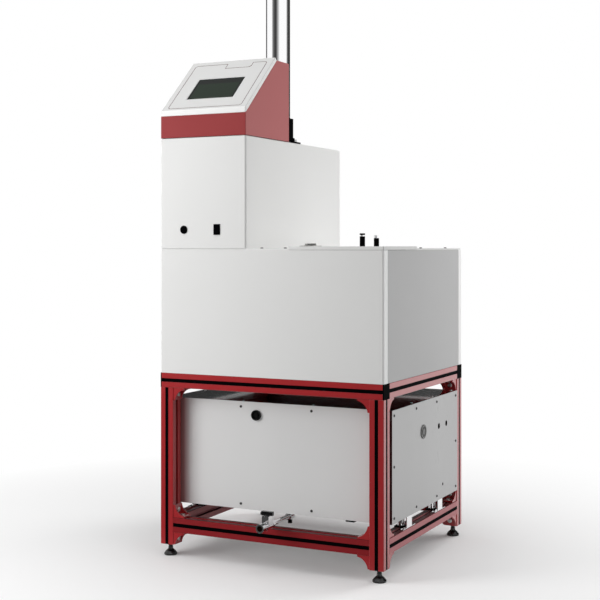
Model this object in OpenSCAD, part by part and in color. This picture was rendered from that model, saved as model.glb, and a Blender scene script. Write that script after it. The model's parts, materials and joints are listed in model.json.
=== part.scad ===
// Floor-standing batch reflow oven: a sheet-metal oven casing on a slotted-profile frame,
// with a control tower, a tilting operating head, a lidded chamber and a case slung below.
// Millimetres, +Z up. The origin is on the floor, in the middle of the four feet.
// The operating side faces -Y.

/* [Frame] */
// Width over the frame, left to right
frame_w = 664; // [600:2:760]
// Depth over the frame, front to back
frame_d = 598; // [560:2:680]
// Height of the frame over its feet
frame_h = 471; // [466:1:520]
// Side of the square frame profile
profile = 40; // [38:1:44]
// Corner radius of the profile
profile_r = 1.5; // [0.5:0.5:3]
// Width of a slot's mouth
slot_w = 10; // [8:0.5:11]
// Thickness of the lips beside a slot's mouth
slot_lip = 4.5; // [3:0.5:5]
// Width of a slot behind its lips
slot_inner = 19; // [16:1:20]
// Depth of a slot from the face to its floor
slot_depth = 11.5; // [10:0.5:12]
// Bore along the middle of the profile
core_bore = 10.4; // [8:0.2:11]
// Thickness of the strips that close the slots
strip_t = 2.5; // [1.5:0.5:4]
// Thickness of the caps on the top beams' ends
cap_t = 3; // [2:0.5:6]
// Length of the posts below the lower beams
post_tail = 35; // [35:1:50]

/* [Corner brackets] */
// Length of each leg of a corner bracket
bracket_leg = 34; // [28:1:34]
// Width of a corner bracket
bracket_w = 36; // [30:1:38]
// Thickness of a bracket's flanges
bracket_t = 5; // [3:0.5:6]
// Thickness of a bracket's webs
bracket_web = 4; // [2:0.5:6]
// Distance of a bracket's screw from the corner
bracket_screw_at = 19; // [17:1:22]
// Diameter of a bracket screw's shank
bracket_screw_d = 8; // [5:1:8]
// Diameter of a bracket screw's head
bracket_head_d = 13; // [10:1:14]
// Height of a bracket screw's head
bracket_head_h = 4.4; // [3:0.2:5]
// Side of the square nut in the slot behind a bracket
slot_nut = 14; // [12:1:14]
// Thickness of the slot nut
slot_nut_t = 3.6; // [2:0.2:4]

/* [Levelling feet] */
// Height of a foot from the floor to the post
foot_h = 32; // [26:1:50]
// Diameter of a foot's pad
foot_d = 36; // [30:1:60]
// Height of the pad's straight rim
foot_rim_h = 5; // [2:0.5:6]
// Height of the whole pad
pad_h = 24; // [16:1:25]
// Diameter of a foot's threaded stem
stem_d = 8; // [6:0.5:10]
// Diameter of the pad's neck
neck_d = 13; // [12:1:18]
// Depth that a stem screws into its post
stem_in = 20; // [10:1:40]
// Width of the lock nut across its flats
nut_flats = 13; // [13:1:24]
// Height of the lock nut
nut_h = 6; // [4:0.5:8]

/* [Oven casing] */
// Height of the casing's covers
casing_h = 338; // [310:1:380]
// Thickness of the sheet metal
sheet = 2; // [1:0.5:3]
// Outer bend radius of the covers' upright corners
bend_r = 5; // [3:0.5:8]
// Depth of the front and rear covers' returns along the sides
return_d = 27; // [18:1:60]
// Gap at the seams between covers
seam = 0.8; // [0.4:0.2:2]
// Thickness of the casing's floor plate
floor_t = 3; // [2:0.5:6]
// Thickness of the casing's top plate
top_t = 4; // [3:0.5:6]
// Setback of the top plate's edge from the covers
top_inset = 2; // [0:0.5:4]
// Diameter of the top plate's screw heads
top_head_d = 8; // [5:0.5:12]
// Height of the top plate's screw heads
top_head_h = 3; // [1.5:0.5:4]
// Distance of the top plate's screws from the frame's sides and front
top_screw_in = 12; // [10:1:16]
// Distances of the right-hand screws behind the lid
side_screws = [17, 56, 254]; // [10:1:260]
// Distances of the front screws from the tower's side and from the lid
front_screws = [42, 14]; // [10:1:50]
// Number of vent slots in a row on the rear
vent_count = 9; // [3:1:11]
// Length of a vent slot
vent_l = 80; // [40:5:90]
// Height of a vent slot
vent_h = 5; // [3:0.5:8]
// Spacing of the vent slots
vent_pitch = 14; // [10:1:18]
// Height of the lowest vent slot over the casing's foot
vent_low = 120; // [40:5:180]

/* [Lid] */
// Width of the lid, left to right
lid_w = 270; // [260:2:290]
// Depth of the lid, front to back
lid_d = 235; // [226:1:260]
// Height of the lid's skirt
lid_h = 9; // [8:0.5:14]
// Gap from the covers' top edge up to the lid
lid_gap = 0.6; // [0.4:0.1:1]
// Thickness of the lid seal
seal_t = 2; // [1.5:0.5:3]
// Width of the lid seal
seal_w = 10; // [6:1:12]
// Opening angle of the lid
lid_open = 105; // [60:1:110]
// Distance of the lid's knobs from its hinge edge
knob_x = 179; // [120:1:220]
// Distance of the front knob from the lid's front edge
knob_y = 75; // [40:1:90]
// Spacing of the lid's two knobs
knob_span = 94; // [60:1:120]
// Diameter of the knobs
knob_d = 14; // [10:0.5:18]
// Height of the knobs' black bodies, front one and rear one
knob_h = [26, 22]; // [10:1:50]
// Height of the steel collars on the knobs, front one and rear one
collar_h = [3.5, 8]; // [2:0.5:20]
// Diameter of the steel collars
collar_d = 14; // [9:0.5:18]
// Diameter of the cap on the front knob
knob_cap_d = 14; // [12:0.5:20]
// Height of the cap on the front knob
knob_cap_h = 4.5; // [2:0.5:8]

/* [Lid hinge] */
// Length of the lid hinge
lid_hinge_l = 56; // [50:2:120]
// Distance of the hinge's middle from the lid's front edge
lid_hinge_mid = 139; // [70:1:150]
// Outer diameter of the lid hinge's knuckles
lid_knuckle_d = 8; // [7:0.5:12]
// Diameter of the lid hinge's pin
lid_pin_d = 4; // [3:0.5:5]
// Thickness of the lid hinge's leaves
lid_leaf_t = 2; // [1.5:0.5:3]
// Width of a lid hinge leaf
lid_leaf_w = 20; // [16:1:30]

/* [Chamber] */
// Inside width of the chamber
chamber_w = 200; // [180:2:206]
// Inside depth of the chamber, front to back
chamber_d = 170; // [160:2:176]
// Thickness of the chamber's walls
chamber_t = 2; // [1:0.5:3]
// Thickness of the insulation
insulation_t = 20; // [12:1:22]
// Height of the baffle over the chamber's floor
baffle_z = 46; // [42:1:60]
// Holes in the baffle along its width
baffle_nx = 9; // [5:1:10]
// Holes in the baffle along its depth
baffle_ny = 7; // [5:1:8]
// Diameter of the baffle's holes
baffle_hole = 9; // [5:0.5:10]
// Spacing of the baffle's holes
baffle_pitch = 19; // [17:1:20]
// Height of the board rack over the baffle
rack_h = 40; // [25:1:60]
// Cross wires in the board rack
rack_wires = 13; // [5:1:16]
// Diameter of the rack's rails
rail_d = 5; // [4:0.5:6]
// Diameter of the rack's cross wires
wire_d = 3; // [2:0.5:3.5]
// Diameter of the temperature probe
probe_d = 5; // [3:0.5:8]
// Reach of the temperature probe into the chamber
probe_reach = 55; // [30:5:70]

/* [Fan and heater] */
// Diameter of the fan wheel
wheel_d = 112; // [90:2:116]
// Height of the fan wheel's blades
blade_h = 22; // [14:1:24]
// Number of the fan wheel's blades
blade_count = 12; // [6:1:16]
// Thickness of a fan blade
blade_t = 1.5; // [1:0.5:3]
// Radius of a blade's curve
blade_r = 34; // [30:1:50]
// Diameter of the fan wheel's hub
hub_d = 26; // [20:1:34]
// Diameter of the fan's shaft
shaft_d = 8; // [6:0.5:10]
// Radial clearance of the shaft in its bearings
shaft_fit = 0.05; // [0.02:0.01:0.08]
// Diameter of the fan motor
motor_d = 74; // [60:1:84]
// Height of the fan motor
motor_h = 66; // [50:1:70]
// Thickness of the motor's flange
motor_flange_t = 5; // [3:0.5:8]
// Free height under the fan motor
motor_clear = 22; // [15:1:40]
// Depth of the shaft's end in the motor
shaft_in = 28; // [15:1:40]
// Mean diameter of the ring heater
heater_ring_d = 146; // [140:1:150]
// Diameter of the heater's tube
heater_d = 8; // [6:0.5:9]

/* [Tower] */
// Width of the tower
tower_w = 268; // [250:2:290]
// Height of the tower
tower_h = 302.5; // [260:0.5:360]
// Rounding of the tower's outer edges
tower_r = 5; // [3:0.5:8]
// Diameter of the start button's collar
button_d = 22.4; // [20:0.2:28]
// Diameter of the start button's cap
cap_d = 16; // [12:0.5:17]
// Travel of the start button
button_travel = 2.5; // [1:0.5:4]
// Distance of the start button from the tower's left side
button_x = 75; // [50:1:90]
// Height of the front controls over the tower's foot
control_z = 51; // [40:1:90]
// Distance of the rocker switch from the tower's left side
rocker_x = 179; // [140:1:200]
// Width of the rocker switch
rocker_w = 20; // [16:0.5:26]
// Height of the rocker switch
rocker_h = 29; // [24:0.5:34]
// Angle between the rocker's two positions
rocker_swing = 16; // [8:1:20]

/* [Operating head] */
// Depth of the head at its foot
head_d = 254; // [230:2:300]
// Height of the head's front strip
head_front_h = 60; // [40:1:80]
// Height of the head over the tower
head_h = 222; // [200:1:260]
// Depth of the head's flat top
head_flat = 75; // [50:1:100]
// Gap between the head and the tower's top
head_gap = 0.5; // [0.4:0.1:1]
// Thickness of the bezel
bezel_t = 11; // [8:0.5:14]
// Rounding of the bezel's edges
bezel_r = 4; // [2:0.5:6]
// Width of the touchscreen's glass
screen_w = 147; // [120:1:170]
// Height of the touchscreen's glass, along the slope
screen_h = 95; // [80:1:110]
// Distance of the glass from the bezel's lower edge
screen_at = 59; // [50:1:70]
// Thickness of the touchscreen's case behind the glass
screen_deep = 30; // [20:1:45]
// Width of the inlaid stripe
stripe_w = 1.6; // [1:0.2:3]
// Distance of the stripe from the bezel's edges
stripe_in = 18; // [14:1:24]
// Cut of the stripe's corners
stripe_cut = 6; // [3:1:10]
// Width of the step in the stripe's upper run
step_w = 80; // [40:1:110]
// Depth of the step in the stripe's upper run
step_d = 21; // [10:1:26]
// Shift of the step from the bezel's middle
step_dx = 30; // [0:1:40]
// Depth of the groove that holds the stripe
stripe_deep = 0.6; // [0.4:0.2:2]
// Tilt of the head when it is opened
head_open = 40; // [20:1:42]

/* [Head hinges] */
// Height of the hinge axis over the tower's top
head_axis_z = 9.5; // [8:0.5:14]
// Distance of the hinge axis behind the head
head_axis_y = 33; // [26:1:38]
// Width of a hinge along its axis
head_hinge_w = 30; // [24:1:44]
// Distance of each hinge from the head's side
head_hinge_in = 1; // [0:0.5:20]
// Height of the hinge block on the head
head_leaf_h = 61; // [40:1:80]
// Diameter of a hinge's knuckles
head_knuckle_d = 9; // [8:0.5:12]
// Diameter of a hinge's pin
head_pin_d = 5; // [4:0.5:6]
// Thickness of the leaf on the tower
head_foot_t = 4; // [3:0.5:5]
// Length of the leaf on the tower, behind the axis
head_foot_l = 42; // [30:1:60]

/* [Flue] */
// Outer diameter of the flue
flue_d = 73; // [60:1:80]
// Wall of the flue and the duct
flue_t = 1.5; // [1:0.5:3]
// Height of the flue over the tower
flue_h = 532; // [450:2:900]
// Distance of the flue behind the frame's front
flue_y = 443; // [430:1:480]
// Distance of the exhaust duct's level run below the chamber's flange
duct_down = 79; // [77:1:95]
// Height of the duct's joint with the flue over the top plate
joint_up = 25; // [20:1:60]
// Depth of the socket at the duct's top
socket_l = 30; // [15:1:60]
// Bend radius of the exhaust duct
duct_r = 80; // [70:1:80]
// Diameter of the flue's flange
flange_d = 112; // [100:1:130]
// Thickness of the flue's flange
flange_t = 6; // [4:0.5:10]

/* [Lower case] */
// Distance that the case's side panels stand out past the frame
case_proud = 3; // [2:0.5:6]
// Distance of the case behind the frame's front
case_front = 49; // [46:1:60]
// Distance of the case in front of the frame's rear
case_rear = 47; // [46:1:60]
// Height of the case over the lower beams
case_gap = 33; // [24:1:36]
// Gap from the case's top up to the frame's top beams
case_drop = 32; // [27:1:53]
// Width of the flanges that the panels screw to
case_flange = 20; // [14:1:30]
// Distance of a panel screw from the case's edge
panel_screw_in = 14; // [10:1:18]
// Distance of the front panel's screws from its sides
front_screw_in = 16; // [12:1:20]
// Diameter of the small panel screws' heads
panel_head_d = 7; // [5:0.5:9]
// Height of the small panel screws' heads
panel_head_h = 2; // [1.5:0.5:3]
// Diameter of the round ports in the right panel
port_d = 16; // [12:0.5:24]
// Distances of the ports' middles behind the case's front
port_y = [346.5, 407]; // [300:0.5:440]
// Height of the ports over the case's foot
port_z = 207; // [100:1:250]
// Diameter of the round gland in the right panel
gland_d = 38; // [30:1:50]
// Middle of the gland, behind the case's front and over its foot
gland_at = [224.5, 208]; // [60:0.5:280]
// Diameter of the small hole low in the right panel
earth_d = 9; // [5:0.5:14]
// Middle of the small hole, behind the case's front and over its foot
earth_at = [378, 39]; // [20:1:440]
// Diameter of the front connector
connector_d = 28; // [20:1:36]
// Place of the front connector: beside the case's middle, and down from its top
connector_at = [-58, 35]; // [-300:1:300]
// Diameter of the buffers under the case
buffer_d = 20; // [14:1:30]
// Distance of the buffers from the frame's middle, front to back
buffer_y = 118; // [60:1:160]
// Distance of the buffers inwards from the middle of the beams
buffer_in = 6; // [5:1:8]
// Side of the square plates over and under a buffer
buffer_plate_w = 28; // [24:1:28]
// Thickness of the buffers' plates
buffer_plate_t = 3; // [2:0.5:5]
// Width of the upright support beside a buffer
support_w = 36; // [20:1:50]
// Length of the support's foot along the beam
support_foot_l = 85; // [50:1:100]
// Width of the support's foot
support_foot_w = 10; // [6:1:10]
// Width of the clip under the case's front edge
clip_w = 24; // [14:1:30]
// Distance of the clip right of the middle
clip_x = 217; // [100:1:260]

/* [Drain] */
// Distance of the drain right of the middle
drain_x = 20; // [-60:1:100]
// Height of the drain's axis over the lower beams
drain_up = 17; // [14:0.5:18]
// Reach of the outlet in front of the frame
drain_reach = 78; // [70:1:110]
// Outer diameter of the drain pipe
drain_d = 13; // [10:0.5:16]
// Wall of the drain pipe
drain_t = 1.5; // [1:0.5:2.5]
// Diameter of the outlet
outlet_d = 24; // [20:0.5:30]
// Bore of the outlet
outlet_bore = 15; // [10:0.5:18]
// Depth of the outlet's bore
outlet_deep = 14; // [8:1:16]
// Distance of the valve's stem in front of the frame
stem_y = 35; // [32:1:44]
// Height of the lever's bar over the drain's axis
lever_z = 27; // [22:1:40]
// Length of the lever's bar
lever_l = 32; // [24:1:50]
// Width of the lever's bar
lever_w = 10; // [8:0.5:16]
// Height of the lever's bar
lever_h = 10; // [6:0.5:16]
// Length of the valve's body along the pipe
valve_l = 30; // [26:1:40]
// Width of the valve's bonnet, under the lever
bonnet_w = 20; // [14:1:24]
// Length of the bonnet along the pipe
bonnet_l = 26; // [16:1:26]
// Diameter of the plug under the drain's elbow
plug_d = 12; // [8:0.5:16]
// Diameter of the stem that the lever turns
stem_pin_d = 6; // [4:0.5:8]
// Distance of the pipe's rise into the case behind the case's front
drain_rise = 56; // [30:1:120]

/* [Hidden] */
$fn = 48;
// Clearance between fixed pieces
fit = 0.1;
// Clearance between pieces that move against each other
face = 0.3;
// Overrun of a cut past the surface that it opens
over = 1;
front = -frame_d / 2;
right = frame_w / 2;
frame_top = foot_h + frame_h;
lower_z = foot_h + post_tail;
beam_top = lower_z + profile;
beam_mid = lower_z + profile / 2;
top_mid = frame_top - profile / 2;
post_x = right - profile / 2;
post_y = frame_d / 2 - profile / 2;
web_r = norm([4, bracket_leg + 4 - bracket_t]);
casing_z = frame_top;
casing_top = casing_z + casing_h;
deck_top = casing_top + top_t;
lid_z = casing_top + lid_gap;
lid_top = lid_z + lid_h;
lid_x = right - lid_w;
lid_side = 1;
lid_mid = [lid_x + lid_w / 2, front + lid_d / 2];
lid_axis = [lid_x - 2, lid_top + lid_knuckle_d / 2];
lid_leaf_in = lid_knuckle_d / 2 + 0.6;
rim_t = 2;
rim_top = lid_z - face - seal_t;
motor_low = casing_z + floor_t + motor_clear;
motor_top = motor_low + motor_h;
jacket_z = motor_top + motor_flange_t;
chamber_z = jacket_z + insulation_t + chamber_t;
chamber_h = rim_top - chamber_z;
chamber_out = [chamber_w + 2 * chamber_t, chamber_d + 2 * chamber_t];
jacket = [chamber_out[0] + 2 * insulation_t, chamber_out[1] + 2 * insulation_t];
// Height of the fan wheel over the chamber's floor
wheel_lift = 6;
wheel_z = chamber_z + wheel_lift;
// Thickness of the baffle's plate
plate_t = 1.5;
baffle_at = chamber_z + baffle_z;
baffle_top = baffle_at + plate_t;
rack_z = baffle_top + rack_h;
// Distances of the board rack from the chamber's side and front walls
rack_in = [16, 14];
rack_x = chamber_w / 2 - rack_in[0];
rack_y = chamber_d / 2 - rack_in[1];
// Height of the temperature probe over the board rack
probe_lift = 22;
probe_z = rack_z + probe_lift;
flange_side = 88;
tower_x = -right;
tower_top = deck_top + tower_h;
tower_mid = tower_x + tower_w / 2;
control_at = deck_top + control_z;
// Width by which the start button's collar is larger than its barrel
collar_step = 3.4;
barrel_d = button_d - collar_step;
lip_t = 1.5;
head_z = tower_top + head_gap;
slope_run = head_d - head_flat;
slope_rise = head_h - head_front_h;
slope_len = norm([slope_run, slope_rise]);
slope = atan2(slope_rise, slope_run);
glass_back = 4;
head_axis = [front + head_d + head_axis_y, tower_top + head_axis_z];
flue_at = [tower_mid, front + flue_y];
flue_joint = deck_top + joint_up;
duct_z = rim_top - duct_down;
case_z = beam_top + case_gap;
case_h = frame_top - profile - case_drop - case_z;
case_w = frame_w + 2 * case_proud;
case_d = frame_d - case_front - case_rear;
case_y = front + case_front;
panel_x = case_w / 2 - sheet;
connector_neck = connector_d * 0.7;
// Width by which the gland's disc is larger than its neck
gland_step = 10;
gland_neck = gland_d - gland_step;
screw_rows = [for (i = [0:3]) panel_screw_in + i * (case_d - 2 * panel_screw_in) / 3];
drain_z = beam_top + drain_up;
lever_at = front - stem_y;
rise_y = case_y + drain_rise;

// ---- shapes used by several pieces ----

module rounded_rect(w, d, r) {
    square([w - 2 * r, d], center = true);
    square([w, d - 2 * r], center = true);
    for (sx = [-1, 1], sy = [-1, 1])
        translate([sx * (w / 2 - r), sy * (d / 2 - r)]) circle(r);
}

module box(w, d, h) {
    translate([-w / 2, -d / 2, 0]) cube([w, d, h]);
}

module tube(d, wall, l) {
    difference() {
        cylinder(d = d, h = l);
        translate([0, 0, -over]) cylinder(d = d - 2 * wall, h = l + 2 * over);
    }
}

// A flat ring between two diameters
module ring(outer, inner, h) {
    tube(outer, (outer - inner) / 2, h);
}

// A domed screw head with its hexagon socket
module button_head(d, h) {
    difference() {
        intersection() {
            cylinder(d = d, h = h);
            translate([0, 0, h - d]) sphere(d);
        }
        translate([0, 0, h / 2]) cylinder(d = d * 0.5, h = h, $fn = 6);
    }
}

// A socket screw's straight head
module cap_head(d, h) {
    difference() {
        cylinder(d = d, h = h);
        translate([0, 0, h / 2]) cylinder(d = d * 0.55, h = h, $fn = 6);
    }
}

// Two rows of horizontal slots, cut through a wall that faces +Y
module vents(w, z0, count) {
    for (s = [-1, 1], i = [0:count - 1])
        translate([s * w, 0, z0 + i * vent_pitch])
            rotate([90, 0, 0])
                linear_extrude(6 * sheet, center = true) {
                    square([vent_l - vent_h, vent_h], center = true);
                    for (e = [-1, 1]) translate([e * (vent_l - vent_h) / 2, 0]) circle(d = vent_h);
                }
}

// ---- frame ----

module slot_shape() {
    polygon([
        [-slot_w / 2, profile / 2 + over], [slot_w / 2, profile / 2 + over],
        [slot_w / 2, profile / 2 - slot_lip], [slot_inner / 2, profile / 2 - slot_lip],
        [slot_inner / 2, profile / 2 - slot_lip - 1.5],
        [slot_w / 2, profile / 2 - slot_depth], [-slot_w / 2, profile / 2 - slot_depth],
        [-slot_inner / 2, profile / 2 - slot_lip - 1.5],
        [-slot_inner / 2, profile / 2 - slot_lip], [-slot_w / 2, profile / 2 - slot_lip]
    ]);
}

module beam(l) {
    linear_extrude(l)
        difference() {
            rounded_rect(profile, profile, profile_r);
            for (a = [0:90:270]) rotate(a) slot_shape();
            circle(d = core_bore);
        }
}

// A beam along X, centred on the machine
module beam_x(l) {
    translate([-l / 2, 0, 0]) rotate([90, 0, 90]) beam(l);
}

// A beam along Y, centred on the machine
module beam_y(l) {
    translate([0, -l / 2, 0]) rotate([-90, 0, 0]) beam(l);
}

module cross_top_beams() {
    color("firebrick")
        for (s = [-1, 1]) translate([0, s * post_y, top_mid]) beam_x(frame_w - 2 * cap_t);
}

module side_top_beams() {
    color("firebrick")
        for (s = [-1, 1]) translate([s * post_x, 0, top_mid]) beam_y(frame_d - 2 * profile);
}

module posts(y) {
    color("firebrick")
        for (s = [-1, 1]) translate([s * post_x, y, foot_h]) beam(frame_h - profile);
}

module front_posts() {
    posts(-post_y);
}

module rear_posts() {
    posts(post_y);
}

module cross_lower_beams() {
    color("firebrick")
        for (s = [-1, 1]) translate([0, s * post_y, beam_mid]) beam_x(frame_w - 2 * profile);
}

module side_lower_beams() {
    color("firebrick")
        for (s = [-1, 1]) translate([s * post_x, 0, beam_mid]) beam_y(frame_d - 2 * profile);
}

// A strip along X, flush in a slot whose face lies at +Y
module strip(l) {
    translate([-l / 2, -strip_t - face, -slot_w / 2 + fit]) cube([l, strip_t, slot_w - 2 * fit]);
}

// The four strips of one side of the frame, its long strips and the two on its posts
module side_strips(top_l, lower_l, half) {
    translate([0, 0, top_mid]) strip(top_l);
    translate([0, 0, beam_mid]) strip(lower_l);
    for (s = [-1, 1])
        translate([s * half, 0, foot_h + (frame_h - profile) / 2])
            rotate([0, 90, 0]) strip(frame_h - profile);
}

module slot_strips() {
    color("black") {
        for (a = [0, 180])
            rotate(a) translate([0, frame_d / 2, 0])
                side_strips(frame_w - 2 * cap_t, frame_w - 2 * profile, post_x);
        for (a = [-90, 90])
            rotate(a) translate([0, frame_w / 2, 0])
                side_strips(frame_d - 2 * profile, frame_d - 2 * profile, post_y);
    }
}

module end_caps() {
    color("black")
        for (sx = [-1, 1], sy = [-1, 1])
            translate([sx * (right - cap_t / 2) - cap_t / 2, sy * post_y, top_mid])
                rotate([90, 0, 90]) linear_extrude(cap_t) rounded_rect(profile, profile, profile_r);
}

// A cast angle in the XY plane, with a web along each edge that a large arc cuts back
module bracket() {
    web_c = bracket_leg + 4;
    difference() {
        translate([0, 0, -bracket_w / 2])
            union() {
                linear_extrude(bracket_w) {
                    square([bracket_leg, bracket_t]);
                    square([bracket_t, bracket_leg]);
                }
                for (z = [0, bracket_w - bracket_web])
                    translate([0, 0, z])
                        linear_extrude(bracket_web)
                            difference() {
                                square(bracket_leg);
                                translate([web_c, web_c]) circle(web_r, $fn = 96);
                            }
            }
        for (a = [0, 1])
            mirror([a, -a, 0])
                translate([bracket_screw_at, -over, 0])
                    rotate([-90, 0, 0])
                        cylinder(d = bracket_screw_d + 2 * fit, h = bracket_t + 2 * over);
    }
}

// The two screws of a bracket, each with its nut behind the lips of the slot
module bracket_pair_of_screws() {
    nut_at = slot_lip + fit + slot_nut_t;
    for (a = [0, 1])
        mirror([a, -a, 0])
            translate([bracket_screw_at, bracket_t, 0])
                rotate([-90, 0, 0]) {
                    button_head(bracket_head_d, bracket_head_h);
                    translate([0, 0, -bracket_t - nut_at])
                        cylinder(d = bracket_screw_d, h = bracket_t + nut_at + bracket_head_h / 4);
                    translate([0, 0, -bracket_t - nut_at]) box(slot_nut, slot_nut, slot_nut_t);
                }
}

// Places a bracket in every corner: under the top beams, and above and below the lower ones
module at_brackets() {
    levels = [[frame_top - profile, 1], [beam_top, 0], [lower_z, 1]];
    for (v = levels, sx = [-1, 1], sy = [-1, 1]) {
        translate([sx * (right - profile), sy * post_y, v[0]])
            mirror([sx > 0 ? 1 : 0, 0, 0]) mirror([0, 0, v[1]]) rotate([90, 0, 0]) children();
        translate([sx * post_x, sy * (frame_d / 2 - profile), v[0]])
            mirror([0, sy > 0 ? 1 : 0, 0]) mirror([0, 0, v[1]]) rotate([90, 0, 90]) children();
    }
}

module corner_brackets() {
    color("firebrick") at_brackets() bracket();
}

module bracket_screws() {
    color("silver") at_brackets() bracket_pair_of_screws();
}

module levelling_feet() {
    flare = (foot_d - neck_d) / 2;
    color("black")
        for (sx = [-1, 1], sy = [-1, 1])
            translate([sx * post_x, sy * post_y, 0]) {
                rotate_extrude()
                    polygon([
                        [0, 0], [foot_d / 2 - 1, 0], [foot_d / 2, 1], [foot_d / 2, foot_rim_h],
                        [neck_d / 2 + 0.58 * flare, pad_h * 0.45], [neck_d / 2 + 0.1 * flare, pad_h * 0.66],
                        [neck_d / 2, pad_h * 0.8], [neck_d / 2, pad_h - 1],
                        [neck_d / 2 - 1, pad_h], [0, pad_h]
                    ]);
                translate([0, 0, pad_h - over])
                    cylinder(d = stem_d, h = foot_h + stem_in - pad_h + over);
                translate([0, 0, foot_h - nut_h]) cylinder(d = nut_flats / cos(30), h = nut_h, $fn = 6);
            }
}

// ---- oven casing ----

module cover_outline() {
    difference() {
        rounded_rect(frame_w, frame_d, bend_r);
        rounded_rect(frame_w - 2 * sheet, frame_d - 2 * sheet, bend_r - sheet);
    }
}

module casing_floor() {
    inside = [frame_w - 2 * sheet - 2 * fit, frame_d - 2 * sheet - 2 * fit];
    color("gainsboro")
        translate([0, 0, casing_z]) linear_extrude(floor_t) rounded_rect(inside[0], inside[1], bend_r);
}

// The front and both returns along the sides, folded from one sheet
module folded_cover() {
    translate([0, 0, casing_z])
        linear_extrude(casing_h)
            intersection() {
                cover_outline();
                translate([-right, front]) square([frame_w, return_d]);
            }
}

module front_cover() {
    color("whitesmoke") folded_cover();
}

module rear_cover() {
    color("whitesmoke")
        difference() {
            mirror([0, 1, 0]) folded_cover();
            translate([0, -front, 0]) vents(frame_w / 5, casing_z + vent_low, vent_count);
        }
}

module side_panel(s) {
    l = frame_d - 2 * return_d - 2 * seam;
    color("whitesmoke")
        translate([s * (right - sheet / 2) - sheet / 2, -l / 2, casing_z]) cube([sheet, l, casing_h]);
}

module left_panel() {
    side_panel(-1);
}

module right_panel() {
    side_panel(1);
}

module top_plate() {
    color("whitesmoke")
        difference() {
            translate([0, 0, casing_top])
                linear_extrude(top_t)
                    rounded_rect(frame_w - 2 * top_inset, frame_d - 2 * top_inset, bend_r);
            translate([lid_x - lid_side, front - over, casing_top - over])
                cube([lid_w + 2 * lid_side, lid_d + lid_side + over, top_t + 2 * over]);
            translate([flue_at[0], flue_at[1], casing_top - over])
                cylinder(d = flue_d + 2, h = top_t + 2 * over);
        }
}

// ---- lid ----

module lid() {
    color("whitesmoke")
        difference() {
            translate([lid_mid[0], lid_mid[1], lid_z])
                linear_extrude(lid_h) rounded_rect(lid_w, lid_d, sheet * 1.5);
            translate([lid_mid[0], lid_mid[1], lid_z - over])
                box(lid_w - 2 * sheet, lid_d - 2 * sheet, lid_h - sheet + over);
        }
}

module lid_liner() {
    color("silver")
        translate([lid_mid[0], lid_mid[1], lid_z])
            box(lid_w - 2 * sheet - 2 * fit, lid_d - 2 * sheet - 2 * fit, lid_h - sheet - fit);
}

module lid_seal() {
    inner = 4;
    color("dimgray")
        translate([lid_mid[0], lid_mid[1], rim_top])
            linear_extrude(seal_t)
                difference() {
                    rounded_rect(chamber_w + 2 * (inner + seal_w), chamber_d + 2 * (inner + seal_w),
                        inner + seal_w);
                    rounded_rect(chamber_w + 2 * inner, chamber_d + 2 * inner, inner);
                }
}

// Moves to the lid hinge's axis, with +Z along it and its middle at the origin
module at_lid_hinge() {
    translate([lid_axis[0], front + lid_hinge_mid, lid_axis[1]]) rotate([90, 0, 0]) children();
}

module lid_hinge_base() {
    low = deck_top - lid_axis[1];
    high = lid_top + lid_leaf_t - lid_axis[1];
    color("silver")
        at_lid_hinge() {
            translate([-lid_leaf_w, low, -lid_hinge_l / 2])
                cube([lid_leaf_w - lid_leaf_in, high - low, lid_hinge_l]);
            for (s = [-1, 1])
                translate([0, 0, s * lid_hinge_l / 3 - lid_hinge_l / 6]) {
                    cylinder(d = lid_knuckle_d, h = lid_hinge_l / 3);
                    translate([-lid_leaf_in - over, high - lid_leaf_t, 0])
                        cube([lid_leaf_in + over, lid_leaf_t, lid_hinge_l / 3]);
                }
            cylinder(d = lid_pin_d, h = lid_hinge_l, center = true);
        }
}

module lid_hinge_leaf() {
    low = lid_top - lid_axis[1];
    middle = lid_hinge_l / 3 - 2 * face;
    color("silver")
        at_lid_hinge()
            difference() {
                union() {
                    translate([lid_leaf_in, low, -lid_hinge_l / 2])
                        cube([lid_leaf_w - lid_leaf_in, lid_leaf_t, lid_hinge_l]);
                    translate([0, low, -middle / 2]) cube([lid_leaf_in + over, lid_leaf_t, middle]);
                    translate([0, 0, -middle / 2]) cylinder(d = lid_knuckle_d, h = middle);
                }
                translate([0, 0, -middle])
                    cylinder(d = lid_pin_d + 2 * shaft_fit, h = 2 * middle);
            }
}

// Moves to a knob's foot on the lid, the front one first
module at_knob(i) {
    translate([lid_x + knob_x, front + knob_y + i * knob_span, lid_top]) children();
}

module lid_knobs() {
    color("black") {
        for (i = [0, 1]) at_knob(i) cylinder(d = knob_d, h = knob_h[i]);
        at_knob(0)
            translate([0, 0, knob_h[0] + collar_h[0]]) cylinder(d = knob_cap_d, h = knob_cap_h);
    }
}

module knob_collars() {
    color("silver")
        for (i = [0, 1])
            at_knob(i) translate([0, 0, knob_h[i]]) cylinder(d = collar_d, h = collar_h[i]);
}

// ---- chamber, fan and heater ----

// Moves to the middle of the chamber at a given height
module at_chamber(z) {
    translate([lid_mid[0], lid_mid[1], z]) children();
}

// The exhaust duct's hole through the chamber's left wall
module duct_hole() {
    at_chamber(duct_z)
        translate([-chamber_w / 2 + over, 0, 0]) rotate([0, -90, 0])
            cylinder(d = flue_d + 2 * fit, h = chamber_t + insulation_t + 2 * over);
}

module at_heater_leads() {
    for (a = [165, 195]) at_chamber(0) rotate(a) translate([heater_ring_d / 2, 0, 0]) children();
}

// The heater leads' holes, from below the insulation up into the chamber
module lead_holes() {
    at_heater_leads()
        translate([0, 0, jacket_z - over])
            cylinder(d = heater_d - 2 + 2 * fit, h = insulation_t + chamber_t + 2 * over);
}

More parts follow.
